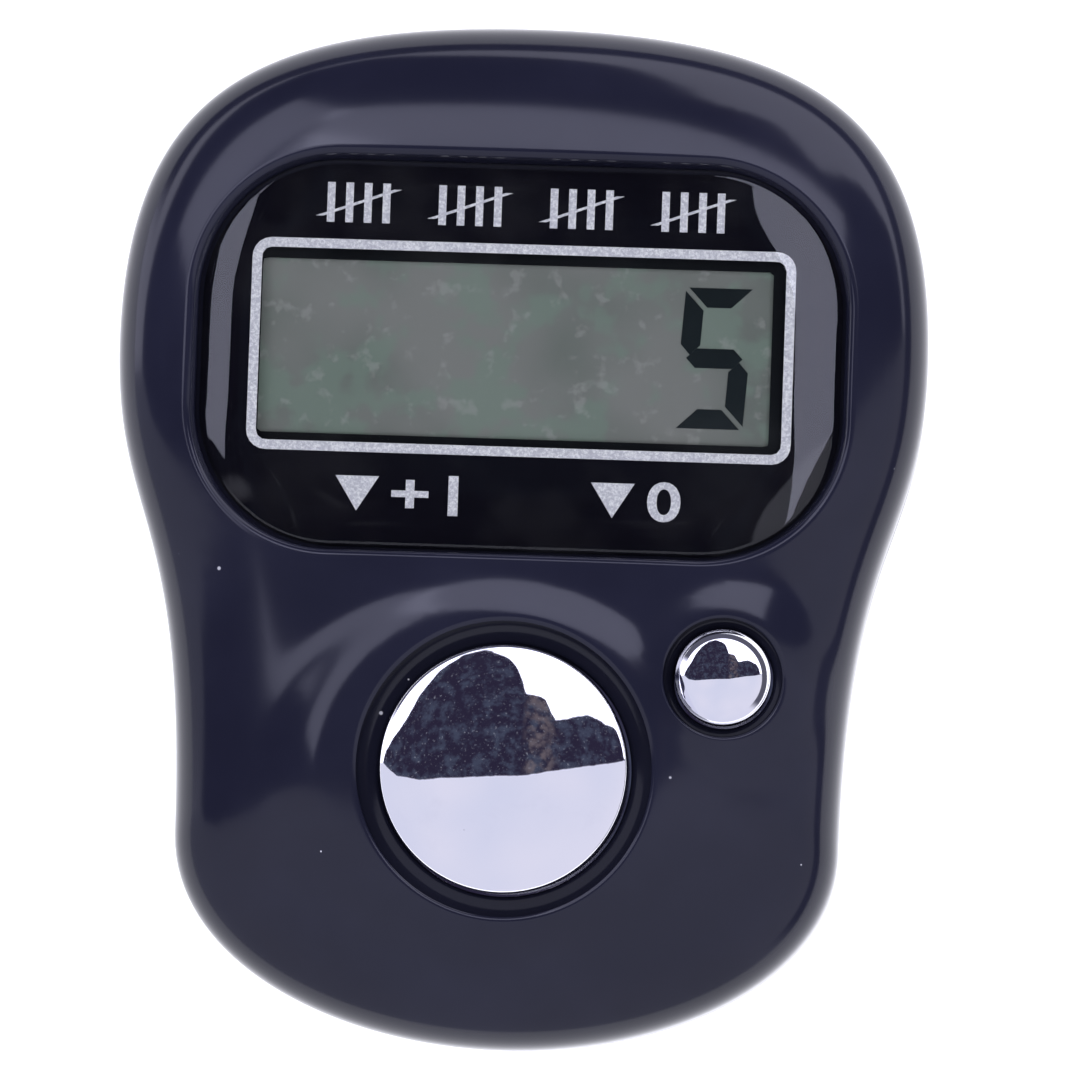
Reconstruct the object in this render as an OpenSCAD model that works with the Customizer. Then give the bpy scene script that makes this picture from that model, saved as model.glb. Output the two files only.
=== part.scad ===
// Hand tally counter worn on a finger: a pebble-shaped two-part case with a display
// window, a large count button, a small reset button and a soft finger band.
// It lies face up. +X is to the right of a person who reads the display, +Y is towards
// the top of the display and +Z is out of the face. The band's flat underside is z = 0.

/* [Case] */
// Length of the case from foot to head
case_l = 40; // [39.5:0.1:41]
// Width across the head
head_w = 31.7; // [31.2:0.1:32.6]
// Width across the waist
waist_w = 25.9; // [25.4:0.1:26.8]
// Height of the flat back above the underside of the finger band
back_z = 19; // [18:0.5:22]
// Depth of the rear shell, from the flat back to the parting line
rear_h = 5.4; // [5.4:0.1:6]
// Straight side wall of the front shell above the parting line
rim_h = 1.4; // [1.2:0.1:1.8]
// Rise of the crowned face above that side wall
crown_h = 4.6; // [4.5:0.1:5]
// Squareness of the crown: 2 is an ellipse, higher is flatter on top
crown_power = 3.2; // [2.8:0.1:3.6]
// Wall thickness of both shells
wall = 1.4; // [1.2:0.1:1.5]
// Width of the rounding between the flat back and the sides
back_round_w = 3.2; // [2.6:0.1:3.4]
// Height of that rounding
back_round_h = 3.6; // [3:0.1:4]

/* [Display] */
// Width of the window recess
window_w = 25.2; // [24.8:0.1:25.6]
// Height of the window recess, along Y
window_l = 15.2; // [15:0.1:15.4]
// Corner radius of the window recess
window_r = 5.5; // [4:0.1:6]
// Place of the window's centre along Y
window_y = 6.8; // [6.6:0.1:7]
// Thickness of the clear lens
lens_t = 0.9; // [0.8:0.05:1]
// Clearance between the lens and its recess
lens_gap = 0.12; // [0.08:0.01:0.2]
// Width of the display glass
glass_w = 23; // [22.4:0.1:23.2]
// Thickness of each sheet of display glass
glass_t = 0.55; // [0.5:0.05:0.6]
// Thickness of each polarizer film
film_t = 0.2; // [0.15:0.05:0.25]

/* [Count button] */
// Diameter of the count button
count_d = 9.6; // [9.2:0.1:9.8]
// Diameter of the well around the count button
count_well_d = 11.4; // [11.2:0.1:11.8]
// Place of the count button along Y
count_y = -9.2; // [-9.4:0.1:-9]
// Outer radius of the raised collar around the count button
count_collar_r = 8.4; // [8:0.1:9.4]
// Height of that collar above the crown
count_collar_h = 0.6; // [0.4:0.1:1]
// How far the count button is pressed
count_travel = 0.9; // [0.6:0.1:0.9]
// Rise of the count button's dome
count_dome_h = 1.7; // [1.5:0.1:2]

/* [Reset button] */
// Diameter of the reset button
reset_d = 3.7; // [3.4:0.1:3.8]
// Diameter of the well around the reset button
reset_well_d = 4.6; // [4.5:0.1:5]
// Place of the reset button along X
reset_x = 8.3; // [8.2:0.1:8.4]
// Place of the reset button along Y
reset_y = -5.4; // [-5.5:0.1:-5.3]
// Outer radius of the raised collar around the reset button
reset_collar_r = 3.5; // [3.3:0.1:3.9]
// Height of that collar above the crown
reset_collar_h = 0.4; // [0.3:0.1:0.7]
// How far the reset button is pressed
reset_travel = 0.7; // [0.4:0.1:0.7]
// Rise of the reset button's dome
reset_dome_h = 0.9; // [0.7:0.1:1.1]

/* [Finger band] */
// Width of the band along the finger
band_w = 9.5; // [8:0.5:10]
// Thickness of the band
band_t = 1.5; // [1.2:0.1:1.6]
// Inside width of the loop that the finger goes through
band_gap = 19.6; // [19:0.1:19.8]
// Outer radius of the loop's two lower corners
band_r = 7.5; // [7:0.1:8]
// Place of the band's middle along Y
band_y = 2.25; // [2:0.05:2.5]

/* [Battery] */
// Diameter of the button cell, size LR1130
cell_d = 11.6; // [11.5:0.05:11.6]
// Height of the button cell
cell_h = 3.05; // [2.9:0.05:3.05]
// Place of the cell along Y
cell_y = -10; // [-10.2:0.1:-9.8]
// Width of the battery door
door_w = 14; // [13.8:0.1:14.2]
// Place of the door's inner edge along Y
door_y = -3.6; // [-3.7:0.1:-3.5]
// Clearance around the door and its rails
door_gap = 0.12; // [0.1:0.01:0.15]

/* [Circuit board] */
// Thickness of the circuit board
board_t = 0.8; // [0.8:0.05:1]
// Gap between the parting line and the underside of the board
board_lift = 0; // [0:0.05:0.1]

/* [Hidden] */

$fn = 64;
eps = 0.02;

// Levels, from the back to the face
parting_z = back_z + rear_h;
floor_z = back_z + 1.2;
rim_z = parting_z + rim_h;
crown_z = rim_z + crown_h;
board_z = parting_z + board_lift;
board_top = board_z + board_t;
lens_z = crown_z - 2.3;
lens_top = lens_z + lens_t;
lens_tape_t = 0.15;
ledge_t = 0.9;
glass_top = lens_z - ledge_t - film_t;
glass_mid = glass_top - glass_t;
glass_low = glass_mid - glass_t;

// Display glass along Y; the front sheet reaches further down, over the connector
glass_y_top = 12.7;
glass_y_step = 3.3;
glass_y_low = 1.3;

// The wall around the window, and the ledge that the lens is stuck to
window_wall = 1.1;
ledge_w = 1.5;

// Buttons
guide_gap = 0.08;
flange_t = 0.8;
flange_extra = 1;
count_flange_z = crown_z - 3.6;
reset_flange_z = crown_z - 3.7;
count_shank_top = crown_z + 0.6;
reset_shank_top = crown_z + 0.3;
guide_wall = 2;
guide_l = 2.3;
guide_top = lens_top + 0.3;
flange_room = 0.35;

// Screws: [x, y] of each
case_screw_at = [[-8.2, 15.7], [8.2, 15.7], [-9.8, -13.4], [9.8, -13.4]];
board_screw_at = [[-10.6, -4.2], [11.1, -1.3], [0, 16.4]];
case_screw_r = 0.8;
case_boss_r = 1.6;
board_screw_r = 0.5;
board_boss_r = 1.15;
boss_h = 2.9;
screw_room = 0.12;
screw_reach = 1.9;
head_well_r = 1.65;

// The cell stands on the door's lining
cell_z = floor_z + 0.25;
cell_top = cell_z + cell_h;

// The outline's right half is three curves from the head's top to the foot's end;
// each is a cubic with [start, first handle, second handle, end]
half_l = case_l / 2;
half_head = head_w / 2;
half_waist = waist_w / 2;
head_y = 7.3;
waist_y = -11.9;
outline_curves = [
    [[0, half_l], [11.1, half_l], [half_head, head_y + 9.7], [half_head, head_y]],
    [[half_head, head_y], [half_head, 0.1], [half_waist, 0.8], [half_waist, waist_y]],
    [[half_waist, waist_y], [half_waist, waist_y - 5], [6.5, -half_l], [0, -half_l]]];
outline_steps = 13;

function cubic(c, t) =
    pow(1 - t, 3) * c[0] + 3 * pow(1 - t, 2) * t * c[1] + 3 * (1 - t) * t * t * c[2] + pow(t, 3) * c[3];
function cubic_way(c, t) =
    pow(1 - t, 2) * (c[1] - c[0]) + 2 * (1 - t) * t * (c[2] - c[1]) + t * t * (c[3] - c[2]);
function unit(v) = v / norm(v);
function turned(v) = [-v.y, v.x];

// The right half, moved inwards square to the edge, and then the whole outline
function half_outline(inset) = [for (c = outline_curves, i = [0 : outline_steps - 1])
    cubic(c, i / outline_steps) - inset * turned(unit(cubic_way(c, i / outline_steps)))];
function outline(inset) = let (h = half_outline(inset), n = len(h)) concat(
    h, [[0, -half_l + inset]],
    [for (i = [1 : n - 1]) [-h[n - i].x, h[n - i].y]]);

// The outline drawn in towards a short spine, for the crowned face
spine = 0.3;
function drawn_in(points, k) = [for (p = points) [p.x * k, p.y * (spine + (1 - spine) * k)]];

// A closed solid through rings of equally many points; each ring is [points, height]
module loft(rings) {
    n = len(rings[0][0]);
    m = len(rings);
    polyhedron(
        points = [for (r = rings, p = r[0]) [p.x, p.y, r[1]]],
        faces = concat(
            [[for (i = [n - 1 : -1 : 0]) i]],
            [for (j = [0 : m - 2], i = [0 : n - 1]) each let (
                a = j * n + i, b = j * n + (i + 1) % n)
                [[a, b, a + n], [b, b + n, a + n]]],
            [[for (i = [0 : n - 1]) (m - 1) * n + i]]));
}

// Crowned solid: a straight wall from z0 to z1, then a superellipse that rises by h
module crowned(inset, z0, z1, h, steps) {
    e = 2 / crown_power;
    loft(concat(
        [[outline(inset), z0]],
        [for (i = [0 : steps]) let (a = i * 84 / steps)
            [drawn_in(outline(inset), pow(cos(a), e)), z1 + h * pow(sin(a), e)]]));
}

// Solid with a rounded flat back, open above
module dished(inset, z0, round_w, round_h, z1, steps) {
    loft(concat(
        [for (i = [0 : steps]) let (a = i * 90 / steps)
            [outline(inset + round_w * (1 - sin(a))), z0 + round_h * (1 - cos(a))]],
        [[outline(inset), z1]]));
}

module rounded_rect(w, l, r) {
    square([w - 2 * r, l], center = true);
    square([w, l - 2 * r], center = true);
    for (x = [-1, 1], y = [-1, 1])
        translate([x * (w / 2 - r), y * (l / 2 - r)]) circle(r);
}

module window_plate(grow, z0, z1) {
    translate([0, window_y, z0]) linear_extrude(z1 - z0)
        rounded_rect(window_w + 2 * grow, window_l + 2 * grow, window_r + grow);
}

module box(x0, x1, y0, y1, z0, z1) {
    translate([x0, y0, z0]) cube([x1 - x0, y1 - y0, z1 - z0]);
}

// Raised collar around a button: a low ring that slopes down outwards
module collar(r_in, r_out, base, h) {
    steps = 6;
    rotate_extrude() polygon(concat(
        [[r_in - 1, base - 1.6]],
        [[r_in - 1, base + h]],
        [for (i = [0 : steps]) let (s = i / steps)
            [r_in + 0.5 + s * (r_out - r_in - 0.5), base + h * (0.5 + 0.5 * cos(180 * s)) - 0.6 * s * s]],
        [[r_out, base - 1.6]]));
}

// Thick wall that the button's shank is guided in
module guide(d, flange_z) {
    translate([0, 0, flange_z + flange_t]) cylinder(r = d / 2 + guide_wall, h = guide_l);
}

// Room for a button in the front shell: well, guide bore and flange pocket
module button_room(d, well_d, flange_z) {
    translate([0, 0, guide_top]) cylinder(d = well_d, h = 6);
    translate([0, 0, flange_z - 2]) cylinder(r = d / 2 + guide_gap, h = 8);
    translate([0, 0, parting_z - 1])
        cylinder(r = d / 2 + flange_extra + flange_room, h = flange_z + flange_t - parting_z + 1);
}

// A button: flange, straight shank and a dome cut from a sphere
module button(d, flange_z, shank_top, dome_h) {
    r = d / 2;
    ball = (r * r + dome_h * dome_h) / (2 * dome_h);
    translate([0, 0, flange_z]) cylinder(r = r + flange_extra, h = flange_t);
    translate([0, 0, flange_z]) cylinder(r = r, h = shank_top - flange_z);
    intersection() {
        translate([0, 0, shank_top + dome_h - ball]) sphere(ball);
        translate([0, 0, shank_top - eps]) cylinder(r = r, h = dome_h + 1);
    }
}

module at_count() { translate([0, count_y, 0]) children(); }
module at_reset() { translate([reset_x, reset_y, 0]) children(); }
module at_each(places) { for (p = places) translate([p.x, p.y, 0]) children(); }

module front_shell() {
    color([0.10, 0.10, 0.16]) difference() {
        union() {
            difference() {
                crowned(0, parting_z, rim_z, crown_h, 9);
                crowned(wall, parting_z - 1, rim_z, crown_h - wall, 6);
            }
            window_plate(window_wall, lens_z - ledge_t, lens_top - 0.1);
            at_count() {
                collar(count_well_d / 2, count_collar_r, crown_z - 0.1, count_collar_h);
                guide(count_d, count_flange_z);
            }
            at_reset() {
                collar(reset_well_d / 2, reset_collar_r, crown_z - 0.4, reset_collar_h + 0.2);
                guide(reset_d, reset_flange_z);
            }
            translate([0, 0, board_top]) {
                at_each(case_screw_at) cylinder(r = case_boss_r, h = boss_h);
                at_each(board_screw_at) cylinder(r = board_boss_r, h = boss_h);
            }
        }
        window_plate(0, lens_z, crown_z + 3);
        window_plate(-ledge_w, lens_z - 3, crown_z);
        at_count() button_room(count_d, count_well_d, count_flange_z);
        at_reset() button_room(reset_d, reset_well_d, reset_flange_z);
        translate([0, 0, board_top]) {
            at_each(case_screw_at) cylinder(r = case_screw_r, h = screw_reach + 0.1);
            at_each(board_screw_at) cylinder(r = board_screw_r, h = screw_reach + 0.1);
        }
    }
}

// The part of the rear shell's outside that the door fills
module door_block(gap) {
    box(-door_w / 2 - gap, door_w / 2 + gap, -half_l - 1, door_y + gap, back_z - 1, floor_z + gap / 2);
}

rail_w = 0.7;
rail_z = back_z + 0.55;
rail_t = 0.5;
rail_end_y = -16;
module door_rails(gap, y_end) {
    box(-door_w / 2 - rail_w - gap, door_w / 2 + rail_w + gap,
        y_end, door_y - 0.6 + gap, rail_z - gap, rail_z + rail_t + gap);
}

band_leg_x = band_gap / 2 + band_t / 2;
band_head_w = 3;
band_head_h = 1.1;
band_room = 0.06;
module band_slot(side) {
    x = side * band_leg_x;
    leg = band_t / 2 + band_room;
    head = band_head_w / 2 + band_room;
    y = band_w / 2 + band_room;
    box(x - leg, x + leg, band_y - y, band_y + y, back_z - 1, floor_z + 1);
    box(x - head, x + head, band_y - y, band_y + y, floor_z, floor_z + band_head_h + 0.2);
}

module rear_shell() {
    color([0.08, 0.08, 0.12]) difference() {
        union() {
            difference() {
                dished(0, back_z, back_round_w, back_round_h, parting_z - 0.02, 6);
                dished(wall, floor_z, back_round_w - 0.6, back_round_h - 1, parting_z + 1, 5);
            }
            // the cell's ring, the door's lining and the screw bosses end at the outer skin
            intersection() {
                dished(0, back_z, back_round_w, back_round_h, board_z, 6);
                union() {
                    translate([0, cell_y, floor_z - 0.6]) cylinder(r = cell_d / 2 + 1.1, h = cell_h + 0.6);
                    box(-door_w / 2 - 2, door_w / 2 + 2, -17, door_y + 1.4, floor_z - 0.6, floor_z + 0.55);
                    at_each(case_screw_at) translate([0, 0, floor_z - 0.6])
                        cylinder(r = case_boss_r + 0.6, h = board_z - floor_z + 1);
                }
            }
        }
        door_block(door_gap);
        door_rails(door_gap, -half_l - 1);
        translate([0, cell_y, back_z - 1]) cylinder(r = cell_d / 2 + 0.15, h = rear_h + 2);
        box(-2.4, 2.4, cell_y + cell_d / 2 - 1, cell_y + cell_d / 2 + 2, floor_z + 0.6, parting_z + 1);
        for (side = [-1, 1]) band_slot(side);
        at_each(case_screw_at) {
            translate([0, 0, back_z - 1]) cylinder(r = head_well_r, h = 2.4);
            translate([0, 0, back_z]) cylinder(r = case_screw_r + screw_room, h = rear_h + 1);
        }
    }
}

// The door slides off the foot's end; three thumb grooves cross it
groove_l = 8;
groove_w = 0.6;
groove_step = 1.4;
module battery_door() {
    color([0.08, 0.08, 0.12]) union() {
        difference() {
            intersection() {
                dished(0, back_z, back_round_w, back_round_h, parting_z, 6);
                door_block(0);
            }
            for (i = [0 : 2]) let (y = cell_y - 4.6 + i * groove_step)
                box(-groove_l / 2, groove_l / 2, y, y + groove_w, back_z - 1, back_z + groove_w / 2);
        }
        door_rails(0, rail_end_y);
    }
}

// One strap: two heads inside the case, two legs and the loop's rounded bottom
module band_section() {
    w = band_gap + 2 * band_t;
    difference() {
        union() {
            translate([-w / 2, band_r]) square([w, floor_z - band_r + 0.5]);
            translate([-w / 2 + band_r, 0]) square([w - 2 * band_r, 2 * band_r]);
            for (x = [-1, 1]) translate([x * (w / 2 - band_r), band_r]) circle(band_r);
        }
        translate([-band_gap / 2, band_r]) square([band_gap, floor_z]);
        translate([-w / 2 + band_r, band_t]) square([w - 2 * band_r, 2 * band_r]);
        for (x = [-1, 1]) translate([x * (w / 2 - band_r), band_r]) circle(band_r - band_t);
    }
    for (x = [-1, 1]) translate([x * band_leg_x - band_head_w / 2, floor_z + 0.1])
        square([band_head_w, band_head_h]);
}

// Grip ribs cross each leg
rib_w = 0.8;
rib_step = 2;
rib_low = 10;
module finger_band() {
    color([0.07, 0.07, 0.08]) {
        translate([0, band_y + band_w / 2, 0]) rotate([90, 0, 0]) linear_extrude(band_w) band_section();
        for (side = [-1, 1], i = [0 : 3])
            let (x = side * (band_leg_x + band_t / 2), z = rib_low + i * rib_step)
            box(x - 0.35, x + 0.35, band_y - band_w / 2 + rib_w, band_y + band_w / 2 - rib_w, z, z + rib_w);
    }
}

module display_lens() {
    color([0.05, 0.05, 0.07, 0.6]) window_plate(-lens_gap, lens_z + lens_tape_t, lens_top);
}

// Double-sided tape between the lens and the ledge
module lens_adhesive() {
    color([0.8, 0.8, 0.8]) difference() {
        window_plate(-lens_gap - 0.1, lens_z, lens_z + lens_tape_t);
        window_plate(-ledge_w + 0.1, lens_z - 1, lens_z + 1);
    }
}

module glass_sheet(y0, z0, t) { box(-glass_w / 2, glass_w / 2, y0, glass_y_top, z0, z0 + t); }

film_x = glass_w / 2 - 0.6;
film_y_low = glass_y_step + 0.2;
module lcd_front_polarizer() {
    color([0.35, 0.37, 0.36])
        box(-film_x, film_x, film_y_low, glass_y_top - 0.9, glass_top, glass_top + film_t);
}
module lcd_front_glass() { color([0.7, 0.8, 0.78, 0.5]) glass_sheet(glass_y_low, glass_mid, glass_t); }
module lcd_rear_glass() { color([0.7, 0.8, 0.78, 0.5]) glass_sheet(glass_y_step, glass_low, glass_t); }
module lcd_reflector() {
    color([0.6, 0.62, 0.6])
        box(-film_x - 0.1, film_x + 0.1, film_y_low + 0.1, glass_y_top - 0.3, glass_low - film_t, glass_low);
}

// The plastic surround that holds the glass above the board
module lcd_frame() {
    x = glass_w / 2;
    rim = 0.65;
    room = 0.05;
    seat = 0.6;
    color([0.85, 0.85, 0.83]) difference() {
        box(-x - rim, x + rim, glass_y_low - rim, glass_y_top + rim, board_top, glass_top);
        box(-x - room, x + room, glass_y_low - room, glass_y_top + room, glass_low - film_t, glass_top + 1);
        box(-x + 1, x - 1, glass_y_step + seat, glass_y_top - seat, board_top - 1, glass_top);
        box(-x + seat, x - seat, glass_y_low + 0.1, glass_y_step - 0.1, board_top - 1, glass_top);
    }
}

// Rubber strip that carries the signals from the board to the glass
strip_x = glass_w / 2 - 0.8;
module zebra_connector() {
    color([0.9, 0.5, 0.6])
        box(-strip_x, strip_x, glass_y_low + 0.25, glass_y_step - 0.25, board_top, glass_mid);
}

module board_outline() {
    polygon(outline(wall + 0.4));
}

module circuit_board() {
    color([0.05, 0.35, 0.2]) difference() {
        translate([0, 0, board_z]) linear_extrude(board_t) board_outline();
        translate([0, 0, board_z - 1]) {
            at_each(case_screw_at) cylinder(r = case_screw_r + screw_room, h = 3);
            at_each(board_screw_at) cylinder(r = board_screw_r + screw_room, h = 3);
        }
    }
}

// Blob of resin over the counting chip, on the back of the board
module chip_potting() {
    h = 1.3;
    r = 3.4;
    ball = (r * r + h * h) / (2 * h);
    color([0.04, 0.04, 0.04]) translate([-0.5, 6.5, board_z]) intersection() {
        translate([0, 0, ball - h]) sphere(ball);
        translate([0, 0, -h]) cylinder(r = r, h = h);
    }
}

// Small soldered parts, 1.6 mm by 0.8 mm, on the back of the board
module soldered(places, h) {
    at_each(places) box(-0.8, 0.8, -0.4, 0.4, board_z - h, board_z);
}

capacitor_at = [[-6.8, 9], [-6.8, 6.4], [5.8, 10.4]];
module board_capacitors() {
    color([0.75, 0.6, 0.4]) soldered(capacitor_at, 0.7);
}

resistor_at = [[5.8, 8.2], [5.8, 6], [5.8, 3.8]];
module board_resistors() {
    color([0.1, 0.1, 0.1]) soldered(resistor_at, 0.45);
}

module count_button() {
    color([0.85, 0.85, 0.9]) at_count()
        button(count_d, count_flange_z, count_shank_top, count_dome_h);
}

module reset_button() {
    color([0.85, 0.85, 0.9]) at_reset()
        button(reset_d, reset_flange_z, reset_shank_top, reset_dome_h);
}

// Rubber key: a foot ring on the board, a cone wall and a flat top under the button
skin = 0.35;
pill_t = 0.3;
module key_dome(r_foot, r_top, z_top) {
    foot_w = 0.9;
    rotate_extrude() polygon([
        [0, z_top], [0, z_top - skin], [r_top - skin, z_top - skin], [r_foot - foot_w, board_top + 0.3],
        [r_foot - foot_w, board_top], [r_foot, board_top], [r_foot, board_top + skin],
        [r_foot - 0.5, board_top + skin], [r_top, z_top - 0.1], [r_top, z_top]]);
}
module count_key_dome() {
    color([0.85, 0.82, 0.78]) at_count() key_dome(4.4, 2.4, count_flange_z);
}
module reset_key_dome() {
    color([0.85, 0.82, 0.78]) at_reset() key_dome(2.6, 1.5, reset_flange_z);
}
module contact_pill(r, z_top) { translate([0, 0, z_top - pill_t]) cylinder(r = r, h = pill_t); }
module count_contact_pill() {
    color([0.1, 0.1, 0.1]) at_count() contact_pill(1.5, count_flange_z - skin);
}
module reset_contact_pill() {
    color([0.1, 0.1, 0.1]) at_reset() contact_pill(0.9, reset_flange_z - skin);
}

// Button cell: a can, a seal inside its rim and a cap inside the seal
cell_seal_r = cell_d / 2 - 0.45;
cell_cap_r = cell_d / 2 - 0.85;
module at_cell() { translate([0, cell_y, 0]) children(); }
module cell_can() {
    color([0.8, 0.8, 0.8]) at_cell() difference() {
        translate([0, 0, cell_z]) cylinder(d = cell_d, h = cell_h - 0.35);
        translate([0, 0, cell_z + 0.5]) cylinder(r = cell_seal_r, h = cell_h);
    }
}
module cell_gasket() {
    color([0.2, 0.5, 0.3]) at_cell() difference() {
        translate([0, 0, cell_z + 0.5]) cylinder(r = cell_seal_r, h = cell_h - 0.75);
        translate([0, 0, cell_z]) cylinder(r = cell_cap_r, h = cell_h);
    }
}
module cell_cap() {
    color([0.82, 0.8, 0.75]) at_cell() translate([0, 0, cell_z + 0.5]) {
        cylinder(r = cell_cap_r, h = cell_h - 0.8);
        cylinder(r = cell_cap_r - 0.55, h = cell_h - 0.5);
    }
}

// Leaf between the cell's cap and the board
leaf_t = 0.2;
module battery_spring() {
    x = 1.4;
    y = cell_y + 3.5;
    color([0.85, 0.75, 0.45]) {
        box(-x, x, cell_y - 3.5, y, cell_top, cell_top + leaf_t);
        box(-x, x, y - leaf_t, y, cell_top, board_z);
        box(-x, x, y - leaf_t, y + 1.3, board_z - leaf_t, board_z);
    }
}

// Upright leaf against the side of the cell's can
module battery_side_contact() {
    y0 = cell_y + cell_d / 2;
    color([0.85, 0.75, 0.45]) {
        box(-1.8, 1.8, y0, y0 + leaf_t, cell_z + 0.8, board_z);
        box(-1.8, 1.8, y0, y0 + 1.6, board_z - leaf_t, board_z);
    }
}

module screw(head_r, head_h, shank_r, z0, z1) {
    difference() {
        union() {
            translate([0, 0, z0]) cylinder(r = head_r, h = head_h);
            translate([0, 0, z0]) cylinder(r = shank_r, h = z1 - z0);
        }
        translate([0, 0, z0 - 1]) linear_extrude(1 + head_h * 0.55) {
            square([head_r * 1.3, head_r * 0.3], center = true);
            square([head_r * 0.3, head_r * 1.3], center = true);
        }
    }
}

module case_screws() {
    color([0.7, 0.7, 0.72]) at_each(case_screw_at)
        screw(1.5, 0.8, case_screw_r - 0.02, back_z + 0.6, board_top + screw_reach);
}

module board_screws() {
    color([0.7, 0.7, 0.72]) at_each(board_screw_at)
        screw(1, 0.5, board_screw_r - 0.02, board_z - 0.5, board_top + screw_reach);
}

front_shell();
rear_shell();
battery_door();
finger_band();
display_lens();
lens_adhesive();
lcd_front_polarizer();
lcd_front_glass();
lcd_rear_glass();
lcd_reflector();
lcd_frame();
zebra_connector();
circuit_board();
chip_potting();
board_capacitors();
board_resistors();
count_button();
count_key_dome();
count_contact_pill();
reset_button();
reset_key_dome();
reset_contact_pill();
cell_can();
cell_gasket();
cell_cap();
battery_spring();
battery_side_contact();
case_screws();
board_screws();
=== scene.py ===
import math

import bmesh
import bpy
import numpy as np
from mathutils import Matrix, Vector, geometry


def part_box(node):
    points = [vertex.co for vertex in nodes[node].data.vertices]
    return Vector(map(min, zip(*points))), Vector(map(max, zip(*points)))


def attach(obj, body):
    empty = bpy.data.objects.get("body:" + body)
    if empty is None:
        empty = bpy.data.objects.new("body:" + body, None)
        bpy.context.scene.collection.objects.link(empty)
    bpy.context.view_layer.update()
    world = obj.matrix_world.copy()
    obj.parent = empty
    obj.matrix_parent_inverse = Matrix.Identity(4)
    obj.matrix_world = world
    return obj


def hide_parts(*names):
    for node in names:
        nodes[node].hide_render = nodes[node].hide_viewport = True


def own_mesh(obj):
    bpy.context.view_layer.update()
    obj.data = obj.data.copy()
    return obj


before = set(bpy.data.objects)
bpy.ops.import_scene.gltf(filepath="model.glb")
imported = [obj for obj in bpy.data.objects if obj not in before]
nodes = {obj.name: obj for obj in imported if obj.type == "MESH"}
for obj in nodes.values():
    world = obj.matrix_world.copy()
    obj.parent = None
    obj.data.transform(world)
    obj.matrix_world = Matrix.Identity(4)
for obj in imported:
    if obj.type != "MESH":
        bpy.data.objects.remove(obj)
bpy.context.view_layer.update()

mm = 0.001
tau = 2 * math.pi
print("frame loaded:", len(nodes), "nodes")


caseShape = {
    "halfLength": 20.0, "halfHead": 15.85, "halfWaist": 12.95,
    "headY": 7.3, "waistY": -11.9,          # where the outline is widest and narrowest
    "spine": 0.3,                           # share of the length that the crown keeps at its middle
    "crownPower": 3.2, "crownRise": 4.6, "rim": 1.4,
    "wall": 1.4, "edgeRound": 0.16,         # rounding of both shells at the parting line
    "backRoundWide": 3.2, "backRoundHigh": 3.6,
    "around": 288,                          # points round the outline
}
collars = [                                 # raised rings round the two buttons
    {"x": 0.0, "y": -9.2, "lean": -0.5, "narrow": 0.85, "rise": 0.46, "flat": 5.9, "foot": 7.5, "soft": 0.5},
    {"x": 8.3, "y": -5.4, "lean": 0.25, "narrow": 0.95, "rise": 0.34, "flat": 2.55, "foot": 3.9, "soft": 0.4},
]
windowShape = {"wide": 25.2, "long": 15.2, "corner": 5.5, "y": 6.8}
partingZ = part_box("front_shell")[0].z / mm
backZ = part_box("rear_shell")[0].z / mm
rimZ = partingZ + caseShape["rim"]
crownZ = rimZ + caseShape["crownRise"]
lensLow, lensHigh = (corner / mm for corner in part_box("display_lens"))


# Cubic curve: each of four points weighted by its Bernstein share at t.
def cubic(points, t):
    a, b, c, d = (np.array(p, float) for p in points)
    s = 1 - t[:, None]
    t = t[:, None]
    return s**3 * a + 3 * s * s * t * b + 3 * s * t * t * c + t**3 * d


# The outline's right half from the head's top to the foot's end, as three cubics.
def rightSide():
    c = caseShape
    head, waist, half = c["halfHead"], c["halfWaist"], c["halfLength"]
    t = np.linspace(0, 1, 400)
    spans = [
        [(0, half), (11.1, half), (head, c["headY"] + 9.7), (head, c["headY"])],
        [(head, c["headY"]), (head, 0.1), (waist, 0.8), (waist, c["waistY"])],
        [(waist, c["waistY"]), (waist, c["waistY"] - 5), (6.5, -half), (0, -half)],
    ]
    return np.vstack([cubic(s, t[:-1]) for s in spans] + [[(0, -half)]])


# count points evenly spaced along a closed path, with the outward normal at each.
def evenLoop(path, count):
    ring = np.vstack([path, path[:1]])
    steps = np.hypot(*np.diff(ring, axis=0).T)
    along = np.concatenate([[0], np.cumsum(steps)])
    at = np.arange(count) / count * along[-1]
    points = np.stack([np.interp(at, along, ring[:, i]) for i in (0, 1)], 1)
    way = np.roll(points, -1, 0) - np.roll(points, 1, 0)
    normal = np.stack([way[:, 1], -way[:, 0]], 1)
    normal /= np.hypot(*normal.T)[:, None]
    return points, normal


side = rightSide()
wholePath = np.vstack([side, side[-2:0:-1] * (-1, 1)])[::-1]      # anticlockwise
outline, outlineNormal = evenLoop(wholePath, caseShape["around"])


# How far out a point is: 0 at the spine, 1 at the outline. Found by halving, since the outline drawn in
# to share k is k times its width and (spine + (1 - spine) k) its length.
def crownShare(x, y):
    x, y = np.abs(np.asarray(x, float)), np.asarray(y, float)
    low, high = np.full(x.shape, 1e-4), np.ones(x.shape)
    ys, xs = side[::-1, 1], side[::-1, 0]
    for _ in range(36):
        k = (low + high) / 2
        stretched = y / (caseShape["spine"] + (1 - caseShape["spine"]) * k)
        width = np.where(np.abs(stretched) < caseShape["halfLength"], np.interp(stretched, ys, xs), 0)
        inside = k * width > x
        high = np.where(inside, k, high)
        low = np.where(inside, low, k)
    return (low + high) / 2


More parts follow.
